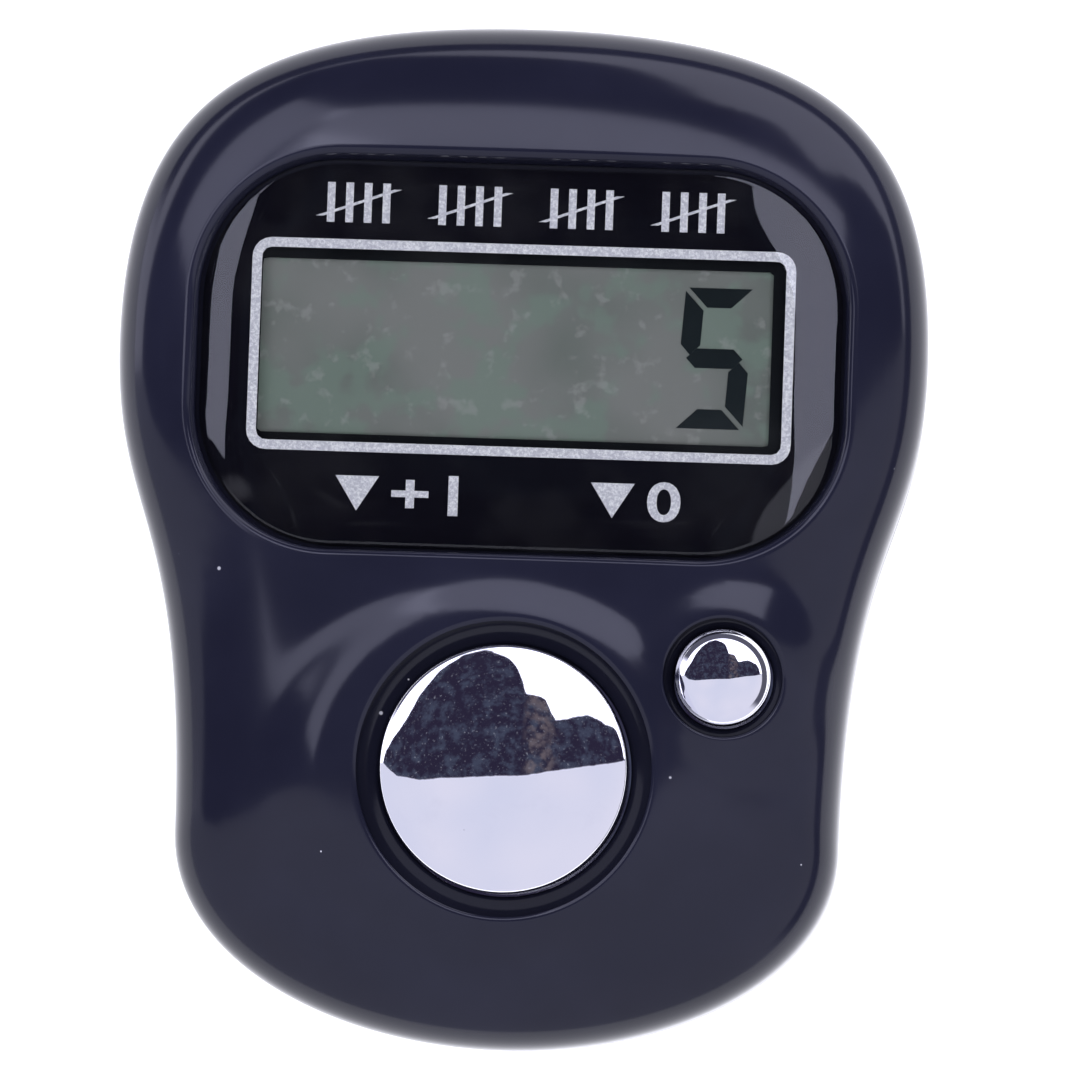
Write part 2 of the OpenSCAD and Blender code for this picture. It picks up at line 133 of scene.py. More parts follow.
# Raised rings: each falls evenly from its flat top to its foot, as the difference of two ramps with
# rounded corners; the two melt together as the cube root of the sum of cubes.
def collarRise(x, y):
    total = 0
    for c in collars:
        r = np.hypot((x - c["x"] - c["lean"]) * c["narrow"], y - c["y"])
        ramps = [(edge - r + np.hypot(edge - r, c["soft"])) / 2 for edge in (c["foot"], c["flat"])]
        total = total + (c["rise"] * (ramps[0] - ramps[1]) / (c["foot"] - c["flat"])) ** 3
    return np.cbrt(total)


# Crown: a superellipse of the share, plus the raised rings.
def faceHeight(x, y):
    k = crownShare(x, y)
    n = caseShape["crownPower"]
    return rimZ + caseShape["crownRise"] * (1 - k**n) ** (1 / n) + collarRise(x, y)


# A rounded rectangle, anticlockwise: four straight runs joined by quarter turns.
def roundedLoop(wide, long, corner, centre, count):
    turn = np.linspace(0, math.pi / 2, 60)
    path = []
    for i, (sx, sy) in enumerate([(1, 1), (-1, 1), (-1, -1), (1, -1)]):
        mid = np.array([sx * (wide / 2 - corner), sy * (long / 2 - corner)])
        a = turn + i * math.pi / 2
        path.append(mid + corner * np.stack([np.cos(a), np.sin(a)], 1))
    points, normal = evenLoop(np.vstack(path), count)
    return points + centre, normal


# A circle, anticlockwise: the cosine and sine of even turns.
def circleLoop(radius, centre, count):
    a = np.arange(count) / count * tau
    return np.stack([np.cos(a), np.sin(a)], 1) * radius + centre


# A loop lifted to height z, which may vary along it.
def row(points, z):
    return np.column_stack([points, np.broadcast_to(z, len(points))])


# Quads between neighbouring rows of a grid whose first vertex is start.
def stripFaces(rows, start):
    count, wide = rows.shape[:2]
    i, j = np.meshgrid(np.arange(count - 1), np.arange(wide), indexing="ij")
    a = start + i * wide + j
    b = start + i * wide + (j + 1) % wide
    return np.stack([a, b, b + wide, a + wide], -1).reshape(-1, 4).tolist()


# Collects grids, caps and triangles, in millimetres, and makes one closed mesh of them.
class Build:
    def __init__(self):
        self.points, self.faces, self.count = [], [], 0

    def take(self, points, faces):
        self.points.append(np.asarray(points, float).reshape(-1, 3))
        self.faces += faces
        self.count += len(self.points[-1])

    def strip(self, rows):
        rows = np.stack(rows)
        self.take(rows, stripFaces(rows, self.count))

    def cap(self, ring, flip=False):
        order = list(range(self.count, self.count + len(ring)))
        self.take(ring, [order[::-1] if flip else order])

    def solidBox(self, x0, x1, y0, y1, z0, z1):
        ring = np.array([(x0, y0), (x1, y0), (x1, y1), (x0, y1)])
        self.solid([row(ring, z0), row(ring, z1)])

    # A stack of loops with a flat cap at each end.
    def solid(self, rows):
        self.strip(rows)
        self.cap(rows[0], True)
        self.cap(rows[-1])

    def make(self, name, smooth=40):
        mesh = bpy.data.meshes.new(name)
        mesh.from_pydata((np.vstack(self.points) * mm).tolist(), [], self.faces)
        shape = bmesh.new()
        shape.from_mesh(mesh)
        bmesh.ops.remove_doubles(shape, verts=shape.verts, dist=2e-7)
        bmesh.ops.dissolve_degenerate(shape, edges=shape.edges, dist=1e-8)
        bmesh.ops.recalc_face_normals(shape, faces=shape.faces)
        shape.to_mesh(mesh)
        shape.free()
        piece = bpy.data.objects.new(name, mesh)
        bpy.context.scene.collection.objects.link(piece)
        shade(piece, smooth)
        return piece


# Smooth faces, with edges sharper than angle left crisp.
def shade(piece, angle):
    mesh = piece.data
    mesh.polygons.foreach_set("use_smooth", np.ones(len(mesh.polygons), bool))
    mesh.set_sharp_from_angle(angle=math.radians(angle))


# A profile of (radius, height) turned round a vertical axis; a radius of 0 closes a pole.
def revolve(build, profile, centre, count=96):
    build.strip([row(circleLoop(r, centre, count), z) for r, z in profile])


# Exact boolean of two meshes, kept as a plain mesh; the tool goes.
def cut(piece, tool, way):
    step = piece.modifiers.new(way.lower(), "BOOLEAN")
    step.operation, step.solver, step.object, step.use_self = way, "EXACT", tool, True
    bpy.context.view_layer.update()
    result = bpy.data.meshes.new_from_object(piece.evaluated_get(bpy.context.evaluated_depsgraph_get()))
    piece.modifiers.clear()
    old, piece.data = piece.data, result
    result.name = piece.name
    bpy.data.meshes.remove(old)
    bpy.data.objects.remove(tool)
    return piece


def place(piece, body, slot, *replaced):
    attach(piece, body)
    if replaced:
        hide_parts(*replaced)
    return piece


frontShell = {
    "skinEdge": 0.9,                       # share at which the crown's skin meets the side band
    "bandRows": 26, "skinStep": 0.34,
    "ringsIn": (0.008, 0.02, 0.036), "ringsOut": (0.12, 0.28, 0.5),
    "windowLip": 0.26, "windowLipDrop": 0.14, "windowWall": 0.12,
    "countWell": 5.7, "countLip": 0.18, "countGuide": 4.88,
    "resetWell": 2.3, "resetLip": 0.12, "resetGuide": 1.93,
    "lipTilt": 30,                         # steepest slope of the wells' rounded edges
    "wellFloor": 29.3, "ledge": 1.5, "ledgeThick": 0.9,
}


# Triangles of the crown's skin in plan: an even grid of points inside the outer loop and outside the
# holes, joined by a Delaunay net that keeps every loop. Rings of points that follow each loop closely
# keep the shading even there.
def skinRegion(outer, holes, rings):
    step = frontShell["skinStep"]
    gx, gy = np.meshgrid(np.arange(-15, 15, step), np.arange(-20, 20, step * 0.866))
    gx = gx + (np.arange(gx.shape[0]) % 2)[:, None] * step / 2
    grid = np.column_stack([gx.ravel(), gy.ravel()])
    keep = insideLoop(grid, outer)
    for loop in holes:
        keep &= ~insideLoop(grid, loop)
    for loop in rings:
        gap = np.min(np.hypot(*(grid[:, None] - loop[None]).transpose(2, 0, 1)), 1)
        keep &= gap > step * 0.62
    loops = [outer] + holes
    points = np.vstack(loops + rings + [grid[keep]])
    edges, start = [], 0
    for loop in loops:
        n = len(loop)
        edges += [(start + i, start + (i + 1) % n) for i in range(n)]
        start += n
    found = geometry.delaunay_2d_cdt([Vector(p) for p in points], edges, [], 0, 1e-9)
    flat = np.array([tuple(p) for p in found[0]])
    faces = np.array(found[2])
    middle = flat[faces].mean(1)
    good = insideLoop(middle, outer)
    for loop in holes:
        good &= ~insideLoop(middle, loop)
    return flat, faces[good]


# Counts how often a line to the right of each point crosses the loop.
def insideLoop(points, loop):
    x, y = points[:, 0, None], points[:, 1, None]
    ax, ay = loop.T
    bx, by = np.roll(loop, -1, 0).T
    spans = (ay > y) != (by > y)
    crossing = ax + (y - ay) * (bx - ax) / np.where(by == ay, 1e-12, by - ay)
    return (spans & (x < crossing)).sum(1) % 2 == 1


# Skin and side band form the outside, a second skin a wall's depth below forms the inside, and a strip
# of rows through each opening joins the two.
def makeFrontShell():
    f, c = frontShell, caseShape
    build = Build()
    w = windowShape
    windowPoints, windowNormal = roundedLoop(w["wide"], w["long"], w["corner"], (0, w["y"]), 240)
    windowGrow = f["windowLip"] + f["windowWall"]
    windowHole = windowPoints + windowNormal * windowGrow
    countAt, resetAt = [(k["x"], k["y"]) for k in collars]
    countHole = circleLoop(f["countWell"] + f["countLip"], countAt, 120)
    resetHole = circleLoop(f["resetWell"] + f["resetLip"], resetAt, 64)

    k = f["skinEdge"]
    drawnIn = outline * (k, c["spine"] + (1 - c["spine"]) * k)
    rings = [outline * (k - d, c["spine"] + (1 - c["spine"]) * (k - d)) for d in f["ringsIn"]]
    rings += [windowPoints + windowNormal * (windowGrow + d) for d in f["ringsOut"]]
    rings += [circleLoop(f["countWell"] + f["countLip"] + d, countAt, 120) for d in f["ringsOut"]]
    rings += [circleLoop(f["resetWell"] + f["resetLip"] + d, resetAt, 64) for d in f["ringsOut"]]
    flat, faces = skinRegion(drawnIn, [windowHole, countHole, resetHole], rings)
    top = faceHeight(flat[:, 0], flat[:, 1])
    build.take(np.column_stack([flat, top]), (faces + build.count).tolist())
    build.take(np.column_stack([flat, top - c["wall"]]), (faces[:, ::-1] + build.count).tolist())

    e = 2 / c["crownPower"]                 # side band: the superellipse by its angle
    last = math.acos(k ** (1 / e))
    band = []
    for t in np.linspace(0, 1, f["bandRows"]) ** 1.9:
        a = last * t
        share = math.cos(a) ** e if t < 1 else k
        points = outline * (share, c["spine"] + (1 - c["spine"]) * share)
        height = rimZ + c["crownRise"] * math.sin(a) ** e if t < 1 else faceHeight(*points.T)
        band.append(row(points, height + (collarRise(*points.T) if t < 1 else 0)))
    r = c["edgeRound"]
    edge = [row(outline - outlineNormal * (r * (1 - math.sin(a))), partingZ + r * (1 - math.cos(a)))
            for a in np.radians([0, 30, 60, 90])]
    wallRows = [row(outline, z) for z in np.linspace(partingZ + r, rimZ, 5)[1:-1]]
    inner = outline - outlineNormal * c["wall"]
    innerRows = [row(inner, partingZ), row(inner, rimZ), row(drawnIn, faceHeight(*drawnIn.T) - c["wall"])]
    build.strip(innerRows[::-1] + edge + wallRows + band)

    lip, wall = f["windowLip"], f["windowWall"]
    face = faceHeight(*windowHole.T)
    rows = []
    for a in np.radians(np.linspace(0, 60, 8)):     # rounded lip, then a drafted wall to the lens
        out = windowGrow - lip * math.sin(a) / math.sin(math.radians(60))
        drop = f["windowLipDrop"] * (1 - math.cos(a)) / 0.5
        rows.append(row(windowPoints + windowNormal * out, face - drop))
    lensTop = lensHigh.z + 0.04
    for s in (0.25, 0.5, 0.75, 1.0):
        rows.append(row(windowPoints + windowNormal * wall * (1 - s),
                        (face - f["windowLipDrop"]) * (1 - s) + lensTop * s))
    ledgeZ = lensLow.z - 0.15
    inset = windowPoints - windowNormal * f["ledge"]
    rows += [row(windowPoints, ledgeZ), row(inset, ledgeZ), row(inset, ledgeZ - f["ledgeThick"]),
             row(windowHole, ledgeZ - f["ledgeThick"]), row(windowHole, face - c["wall"])]
    build.strip(rows)

    for hole, at, well, lip, guide, low in (
            (countHole, countAt, f["countWell"], f["countLip"], f["countGuide"], crownZ - 2.8),
            (resetHole, resetAt, f["resetWell"], f["resetLip"], f["resetGuide"], crownZ - 2.9)):
        face = faceHeight(*hole.T)
        n = len(hole)
        bend = math.radians(f["lipTilt"])
        rows = [row(circleLoop(well + lip * (1 - math.sin(a) / math.sin(bend)), at, n),
                    face - lip * (1 - math.cos(a)) / math.sin(bend)) for a in np.linspace(0, bend, 8)]
        for radius, z in ((well, f["wellFloor"]), (guide + 0.15, f["wellFloor"]),
                          (guide, f["wellFloor"] - 0.15), (guide, low)):
            rows.append(row(circleLoop(radius, at, n), z))
        rows += [row(hole, low), row(hole, face - c["wall"])]
        build.strip(rows)
    return build.make("front_shell_moulding", 50)


rearShell = {"edgeGap": 0.05, "floor": 1.2, "doorHalf": 7.0, "doorY": -3.6, "railWide": 0.7,
             "railLow": 0.55, "railThick": 0.5, "gap": 0.12, "cellY": -10.0, "cellR": 5.95,
             "bandLeg": 10.55, "bandHalf": 0.81, "bandY": 2.25, "bandLong": 4.81, "bandDeep": 0.9,
             "liningSide": 2.0, "liningFoot": -17.0, "liningHead": 1.4, "liningHigh": 0.55, "root": 0.6,
             "ringR": 6.9, "ringHigh": 3.05, "bossR": 2.2, "tighterWide": 0.6, "tighterHigh": 1,
             "headR": 1.65, "headDeep": 1.4, "shankR": 0.92, "past": -21.0,   # past: beyond the foot's end
             "screws": [(-8.2, 15.7), (8.2, 15.7), (-9.8, -13.4), (9.8, -13.4)]}


# The dished back: a quarter turn from the flat back out to the side, then straight up.
def backRows(inset, z0, wide, high, z1, steps=14):
    rows = []
    for a in np.linspace(0, math.pi / 2, steps):
        rows.append(row(outline - outlineNormal * (inset + wide * (1 - math.sin(a))),
                        z0 + high * (1 - math.cos(a))))
    rows += [row(outline - outlineNormal * inset, z) for z in np.linspace(z0 + high, z1, 4)[1:]]
    return rows


# The outer skin's rows up to the parting line, then the inner skin's rows back down. The lining, cell
# ring and screw bosses are joined on, and the doorway, slots and holes are cut out.
def makeRearShell():
    r, c = rearShell, caseShape
    build = Build()
    top = partingZ - r["edgeGap"]
    edge = c["edgeRound"]
    outside = backRows(0, backZ, c["backRoundWide"], c["backRoundHigh"], top - edge)
    for a in np.radians([30, 60, 90]):
        drawnIn = outline - outlineNormal * edge * (1 - math.cos(a))
        outside.append(row(drawnIn, top - edge * (1 - math.sin(a))))
    floor = backZ + r["floor"]
    inside = backRows(c["wall"], floor, c["backRoundWide"] - r["tighterWide"],
                      c["backRoundHigh"] - r["tighterHigh"], top, 8)
    build.strip(outside + inside[::-1])
    build.cap(outside[0], True)
    build.cap(inside[0])
    shell = build.make("rear_shell_moulding")

    root = floor - r["root"]
    rounds = [((0, r["cellY"]), r["ringR"], floor + r["ringHigh"])]
    rounds += [(screw, r["bossR"], partingZ) for screw in r["screws"]]
    lining = Build()
    liningHalf = r["doorHalf"] + r["liningSide"]
    lining.solidBox(-liningHalf, liningHalf, r["liningFoot"], r["doorY"] + r["liningHead"],
                    root, floor + r["liningHigh"])
    inner = [lining.make("lining")]
    for centre, radius, high in rounds:
        added = Build()
        added.solid([row(circleLoop(radius, centre, 72), z) for z in (root, high)])
        inner.append(added.make("boss"))
    for piece in inner:                    # each ends at the outer skin
        hull = Build()
        hull.solid(backRows(0.02, backZ + 0.02, c["backRoundWide"], c["backRoundHigh"], partingZ + 0.1))
        cut(shell, cut(piece, hull.make("hull"), "INTERSECT"), "UNION")

    gap = r["gap"]
    taken = Build()
    doorway = r["doorHalf"] + gap
    taken.solidBox(-doorway, doorway, r["past"], r["doorY"] + gap, backZ - 1, floor + gap / 2)
    cut(shell, taken.make("doorway"), "DIFFERENCE")
    taken = Build()
    rail = r["doorHalf"] + r["railWide"] + gap
    taken.solidBox(-rail, rail, r["past"] - 0.2, r["doorY"] - 0.6 + gap, backZ + r["railLow"] - gap,
                   backZ + r["railLow"] + r["railThick"] + gap)
    for s in (-1, 1):
        x = s * r["bandLeg"]
        taken.solidBox(x - r["bandHalf"], x + r["bandHalf"], r["bandY"] - r["bandLong"],
                       r["bandY"] + r["bandLong"], backZ - 1, floor + r["bandDeep"])
    ledge = backZ + r["headDeep"]
    hole = ((r["headR"], backZ - 1), (r["headR"], ledge), (r["shankR"], ledge), (r["shankR"], partingZ + 1))
    for screw in r["screws"]:
        taken.solid([row(circleLoop(radius, screw, 48), z) for radius, z in hole])
    cut(shell, taken.make("slots"), "DIFFERENCE")
    taken = Build()
    taken.solid([row(circleLoop(r["cellR"], (0, r["cellY"]), 96), z) for z in (backZ - 1, partingZ + 1)])
    cut(shell, taken.make("cellRoom"), "DIFFERENCE")
    shade(shell, 35)
    return shell


batteryDoor = {"grooves": 5, "grooveStep": 0.9, "grooveY": -15.6, "grooveHalf": 4.0, "grooveDeep": 0.22,
               "grooveTaper": 0.25, "grooveWide": 0.42, "railFoot": -16.0,
               "arrowY": -7.4, "arrowWide": 1.3, "arrowHigh": 1.1}


# The part of the dished back inside the doorway, with two rails and thumb grooves.
def makeBatteryDoor():
    r, c, d = rearShell, caseShape, batteryDoor
    build = Build()
    build.solid(backRows(0, backZ, c["backRoundWide"], c["backRoundHigh"], partingZ))
    door = build.make("battery_door_cover")
    block = Build()
    block.solidBox(-r["doorHalf"], r["doorHalf"], r["past"], r["doorY"], backZ - 1, backZ + r["floor"])
    cut(door, block.make("block"), "INTERSECT")
    rail = Build()
    half, low = r["doorHalf"] + r["railWide"], backZ + r["railLow"]
    rail.solidBox(-half, half, d["railFoot"], r["doorY"] - 0.6, low, low + r["railThick"])
    cut(door, rail.make("rails"), "UNION")
    grooves = Build()
    for i in range(d["grooves"]):
        y = d["grooveY"] + i * d["grooveStep"]
        half = d["grooveHalf"] - d["grooveTaper"] * i
        grooves.solid([row(roundedLoop(2 * half, d["grooveWide"], 0.2, (0, y), 40)[0], z)
                       for z in (backZ - 1, backZ + d["grooveDeep"])])
    wide, high = d["arrowWide"], d["arrowHigh"]
    arrow = np.array([(-wide, high), (0, -high), (wide, high)]) + (0, d["arrowY"])   # the way it slides
    grooves.solid([row(arrow, z) for z in (backZ - 1, backZ + d["grooveDeep"])])
    cut(door, grooves.make("grooves"), "DIFFERENCE")
    shade(door, 35)
    return door


buttonShapes = [
    {"name": "count_button_cap", "body": "count_button", "node": "count_button", "radius": 4.8,
     "dome": 1.7, "round": 0.35, "flange": 5.8},
    {"name": "reset_button_cap", "body": "reset_button", "node": "reset_button", "radius": 1.85,
     "dome": 0.9, "round": 0.16, "flange": 2.85},
]


# Dome by its angle on a sphere, a small rounding into the shank, and the flange below.
def makeButton(b):
    low, high = (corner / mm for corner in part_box(b["node"]))
    x, y = (low.x + high.x) / 2, (low.y + high.y) / 2
    ball = (b["radius"]**2 + b["dome"]**2) / (2 * b["dome"])
    edge = math.asin((b["radius"] - b["round"] * 0.3) / ball)
    profile = [(0.0, low.z), (b["flange"], low.z), (b["flange"], low.z + 0.8), (b["radius"], low.z + 0.8)]
    rim = high.z - ball * (1 - math.cos(edge))
    profile += [(b["radius"], rim - b["round"] * 2), (b["radius"], rim - b["round"])]
    profile += [(b["radius"] - b["round"] * 0.3 * (1 - math.cos(t)), rim - b["round"] * (1 - math.sin(t)))
                for t in np.radians([30, 60, 90])]
    for a in np.linspace(edge, 0, 40)[1:]:
        profile.append((ball * math.sin(a), high.z - ball * (1 - math.cos(a))))
    build = Build()
    revolve(build, profile, (x, y), 128)
    return place(build.make(b["name"], 50), b["body"], "chrome", b["node"])


keyDomes = [                                # rubber under each button, and how far the button travels
    {"name": "count_key_dome_rubber", "node": "count_key_dome", "joint": "count_button_press",
     "travel": 0.9, "top": 2.4},
    {"name": "reset_key_dome_rubber", "node": "reset_key_dome", "joint": "reset_button_press",
     "travel": 0.7, "top": 1.5},
]
domeShape = {"skin": 0.35, "footWide": 0.9, "footRim": 0.5, "footRoom": 0.3, "slack": 0.03}


# A turned profile: from the hollow's ceiling down to the foot, out under it and up the cone.
def makeKeyDome(k):
    d = domeShape
    low, high = (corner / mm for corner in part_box(k["node"]))
    centre = ((low.x + high.x) / 2, (low.y + high.y) / 2)
    foot, base, top = (high.x - low.x) / 2, low.z, high.z
    profile = [(k["top"] - d["skin"], top - d["skin"]), (foot - d["footWide"], base + d["footRoom"]),
               (foot - d["footWide"], base), (foot, base), (foot, base + d["skin"]),
               (foot - d["footRim"], base + d["skin"]), (k["top"], top - 0.1), (k["top"] - 0.06, top)]
    build = Build()
    build.solid([row(circleLoop(r, centre, 96), z) for r, z in profile])
    piece = place(build.make(k["name"], 35), "case", "key_rubber", k["node"])
    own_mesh(piece)
    return piece


lensShape = {"bevelWide": 2.3, "bevelDrop": 0.42, "edge": 0.08, "bend": 2.0, "longSideShare": 0.12,
             "printRoom": 0.06, "gap": 0.12}
printShape = {"frameWide": 21.2, "frameLong": 8.3, "frameY": 7.18, "line": 0.38, "corner": 0.75,
              "thick": 0.02, "cap": 1.56, "maskEdge": 0.14, "maskIn": 0.2, "lineThick": 0.01,
              # numbers beside the buttons' pointers: piece, characters, x, y and width
              "numbers": [("label_plus_one", "+1", -3.55, 1.42, 2.6), ("label_zero", "0", 5.75, 1.44, 1.3)],
              "pointers": [(-6.2, 1.42), (3.75, 1.44)], "pointerHalf": 0.85,
              # bundles of four strokes and a slash: how many, their step, a stroke's width and step
              "bundles": 4, "bundleStep": 4.35, "stroke": 0.3, "strokeStep": 0.72, "strokesY": 12.77}
displayShape = {"digitX": 7.5, "digitY": 7.19, "high": 5.51, "wide": 2.72, "bar": 0.76, "slant": 0.065,
                "gap": 0.13, "barLow": 0.01, "barTop": 0.05, "bezelAndShade": (-10.25, 9.72, 3.78, 10.62),
                "bezelSize": (21.9, 9.4, 0.3), "bezelY": 7.3, "openCorner": 0.12,   # size: wide, long, corner
                "bezelLow": 0.12, "bezelTop": 0.3}


# The window's rounded rectangle, drawn in by an inset.
def lensRows(inset):
    w = windowShape
    return roundedLoop(w["wide"] - 2 * inset, w["long"] - 2 * inset, w["corner"] - inset, (0, w["y"]), 240)[0]


# Flat in the middle; towards its edge the top falls away as the square of the way out, all of
# the drop at its two ends and a share of it along its long sides.
def makeLens():
    s, w = lensShape, windowShape
    gap, edge = s["gap"], s["edge"]
    build = Build()
    top = lensHigh.z
    normal = roundedLoop(w["wide"] - 2 * gap, w["long"] - 2 * gap, w["corner"] - gap, (0, w["y"]), 240)[1]
    drop = s["bevelDrop"] * (s["longSideShare"] + (1 - s["longSideShare"]) * normal[:, 0] ** 2)
    rows = [row(lensRows(gap), lensLow.z + s["printRoom"]), row(lensRows(gap), top - drop - edge)]
    for a in np.radians([30, 60, 90]):
        rows.append(row(lensRows(gap + edge * (1 - math.cos(a))), top - drop - edge * (1 - math.sin(a))))
    for t in np.linspace(1, 0, 22)[1:]:
        rows.append(row(lensRows(gap + edge + s["bevelWide"] * (1 - t)), top - drop * t**s["bend"]))
    build.solid(rows)
    lens = build.make("display_lens_clear", 40)
    wear(lens, finishes["lens"])
    lens.data.materials.append(finishes["lensInside"])
    upright = np.zeros(3 * len(lens.data.polygons))
    lens.data.polygons.foreach_get("normal", upright)
    lens.data.polygons.foreach_set("material_index", (upright.reshape(-1, 3)[:, 2] < 0.2).astype(int))
    return lens


# A plate between two loops of equal count.
def flatPlate(name, outer, inner, z0, z1):
    build = Build()
    build.strip([row(inner, z0), row(outer, z0), row(outer, z1), row(inner, z1), row(inner, z0)])
    return build.make(name, 30)


# Plain figures with a little spacing, drawn to a given width and height.
def printedNumber(name, characters, x, y, wide, z):
    curve = bpy.data.curves.new(name, "FONT")
    curve.body = characters
    curve.size = 2.1
    curve.offset = 0.04
    curve.space_character = 1.1
    curve.resolution_u = 6
    curve.extrude = printShape["thick"] / 2
    made = bpy.data.objects.new(name, curve)
    bpy.context.scene.collection.objects.link(made)
    bpy.context.view_layer.update()
    mesh = bpy.data.meshes.new_from_object(made.evaluated_get(bpy.context.evaluated_depsgraph_get()))
    bpy.data.objects.remove(made)
    co = np.zeros(len(mesh.vertices) * 3)
    mesh.vertices.foreach_get("co", co)
    co = co.reshape(-1, 3)
    low, high = co.min(0), co.max(0)
    co[:, 0] = (co[:, 0] - (low[0] + high[0]) / 2) * wide / (high[0] - low[0]) + x
    co[:, 1] = (co[:, 1] - (low[1] + high[1]) / 2) * printShape["cap"] / (high[1] - low[1]) + y
    co[:, 2] += z + printShape["thick"] / 2
    mesh.vertices.foreach_set("co", (co * mm).ravel())
    mesh.name = name
    piece = bpy.data.objects.new(name, mesh)
    bpy.context.scene.collection.objects.link(piece)
    return piece


# Bundles of tally strokes: four upright bars, and one slash printed over them.
def makeStrokes(z):
    p = printShape
    half, tall, t = p["stroke"] / 2, p["cap"] / 2, p["thick"]
    build = Build()
    for i in range(p["bundles"]):
        middle = (i - (p["bundles"] - 1) / 2) * p["bundleStep"]
        for j in range(4):
            x = middle + (j - 1.5) * p["strokeStep"]
            build.solidBox(x - half, x + half, p["strokesY"] - tall, p["strokesY"] + tall, z, z + t)
        reach = 2.1 * p["strokeStep"]
        slash = np.array([(-reach - half, -tall * 0.7), (-reach + half, -tall * 0.7),
                          (reach + half, tall * 0.7), (reach - half, tall * 0.7)])
        build.solid([row(slash + (middle, p["strokesY"]), level) for level in (z + t / 2, z + t * 1.5)])
    return build.make("tally_strokes", 30)


# A small triangle before each number, pointing down to its button.
def makePointers(z):
    p = printShape
    half = p["pointerHalf"]
    build = Build()
    for x, y in p["pointers"]:
        ring = np.array([(0, -half * 0.8), (half, half * 0.8), (-half, half * 0.8)]) + (x, y)
        build.solid([row(ring, level) for level in (z, z + p["thick"])])
    return build.make("button_pointers", 30)


# The seven bars of one digit as outlines about its centre, their ends cut at 45 degrees.
def segmentBars():
    d = displayShape
    w, h, t, g = d["wide"] / 2, d["high"] / 2, d["bar"], d["gap"]
    bars = {}
    bars["top"] = [(-w + g, h), (w - g, h), (w - t - g, h - t), (-w + t + g, h - t)]
    bars["bottom"] = [(-w + g, -h), (-w + t + g, -h + t), (w - t - g, -h + t), (w - g, -h)]
    m = t / 2
    bars["middle"] = [(-w + g * 2, 0), (-w + m + g * 2, m), (w - m - g * 2, m), (w - g * 2, 0),
                      (w - m - g * 2, -m), (-w + m + g * 2, -m)]
    for name, sx in (("Left", -1), ("Right", 1)):
        bars["upper" + name] = [(sx * w, h - g), (sx * (w - t), h - t - g), (sx * (w - t), m + g),
                                (sx * (w - m), g), (sx * w, m + g * 1.2)]
        bars["lower" + name] = [(sx * w, -h + g), (sx * (w - t), -h + t + g), (sx * (w - t), -m - g),
                                (sx * (w - m), -g), (sx * w, -m - g * 1.2)]
    return bars


# Each lit bar is a thin prism, moved sideways by its height times the slant.
def makeDigit(z):
    d = displayShape
    bars = segmentBars()
    build = Build()
    for name in ("top", "upperLeft", "middle", "lowerRight", "bottom"):
        ring = np.array(bars[name])
        ring[:, 0] += ring[:, 1] * d["slant"] + d["digitX"]
        ring[:, 1] += d["digitY"]
        build.solid([row(ring, z + d[level]) for level in ("barLow", "barTop")])
    return build.make("display_digit", 30)


bandShape = {"half": 10.55, "corner": 6.75, "thick": 1.5, "wide": 9.5, "y": 2.25, "top": 20.3,
             "edge": 0.5, "ribHigh": 0.3, "ribLow": 10.0, "ribTop": 17.0, "ribStep": 1.0}


# A rounded flat section carried along the loop's middle line: down one leg, round the bottom and up the
# other. Ribs are cosine swells of its outer face along the legs, which fade out towards the edges as
# one less the 4th power of the way across.
def makeBand():
    b = bandShape
    low, e = b["thick"] / 2, b["edge"]
    turn = np.linspace(0, math.pi / 2, 40)
    leg = np.linspace(b["top"], low + b["corner"], 260)
    flat = np.linspace(-b["half"] + b["corner"], 0, 8)
    bendX = -b["half"] + b["corner"] * (1 - np.cos(turn[1:]))
    bendZ = low + b["corner"] * (1 - np.sin(turn[1:]))
    x = np.concatenate([np.full(len(leg), -b["half"]), bendX, flat[1:]])
    z = np.concatenate([leg, bendZ, np.full(len(flat) - 1, low)])
    x = np.concatenate([x, -x[-2::-1]])
    z = np.concatenate([z, z[-2::-1]])
    way = np.gradient(np.column_stack([x, z]), axis=0)
    way /= np.hypot(*way.T)[:, None]
    out = np.column_stack([way[:, 1], -way[:, 0]])      # away from the finger
    a = np.radians(np.linspace(0, 90, 6))
    halfY, halfT = b["wide"] / 2 - e, b["thick"] / 2 - e
    across = np.linspace(halfY, -halfY, 22)[1:-1]
    section = np.vstack([
        np.column_stack([halfY + e * np.cos(a), halfT + e * np.sin(a)]),
        np.column_stack([across, np.full(20, halfT + e)]),
        np.column_stack([-halfY - e * np.sin(a), halfT + e * np.cos(a)]),
        np.column_stack([-halfY - e * np.cos(a), -halfT - e * np.sin(a)]),
        np.column_stack([-across, np.full(20, -halfT - e)]),
        np.column_stack([halfY + e * np.sin(a), -halfT - e * np.cos(a)])])
    swell = np.where((z > b["ribLow"]) & (z < b["ribTop"]),
                     b["ribHigh"] * np.clip(np.cos((z - b["ribLow"] - 0.5) * tau / b["ribStep"]), 0, 1), 0)
    reach = (section[:, 1] > halfT) * np.clip(1 - (section[:, 0] / halfY) ** 4, 0, 1)
    lift = section[:, 1][None] + swell[:, None] * reach[None]
    px = x[:, None] + out[:, 0, None] * lift
    pz = z[:, None] + out[:, 1, None] * lift
    py = np.broadcast_to(b["y"] + section[:, 0], px.shape)
    build = Build()
    build.solid(list(np.stack([px, py, pz], -1)))
    return build.make("finger_band_strap", 40)


